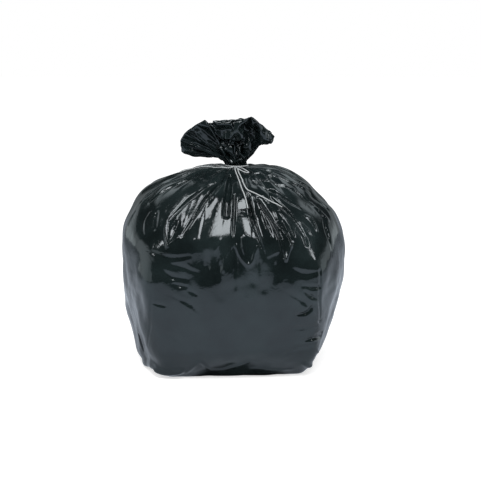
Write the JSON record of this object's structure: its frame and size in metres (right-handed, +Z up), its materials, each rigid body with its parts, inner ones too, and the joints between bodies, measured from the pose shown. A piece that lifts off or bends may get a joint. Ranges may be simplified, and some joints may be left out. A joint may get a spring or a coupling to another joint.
{
  "type": "full bin bag",
  "caption": "Full black refuse sack standing on its base, its mouth gathered into a neck and tied with a thin string in a bow.",
  "frame": {"origin": "on the floor, under the middle of the filled body", "axes": "+Z up through the tied mouth, front towards -Y, +X to the right as seen from the front"},
  "size_m": [0.476, 0.43, 0.5365],
  "materials": {
    "black_film": "glossy thin black film, pleated and creased",
    "pale_string": "thin pale grey twisted string"
  },
  "bodies": {
    "root": {"sack": "black_film", "tie_string": "pale_string"}
  },
  "joints": []
}
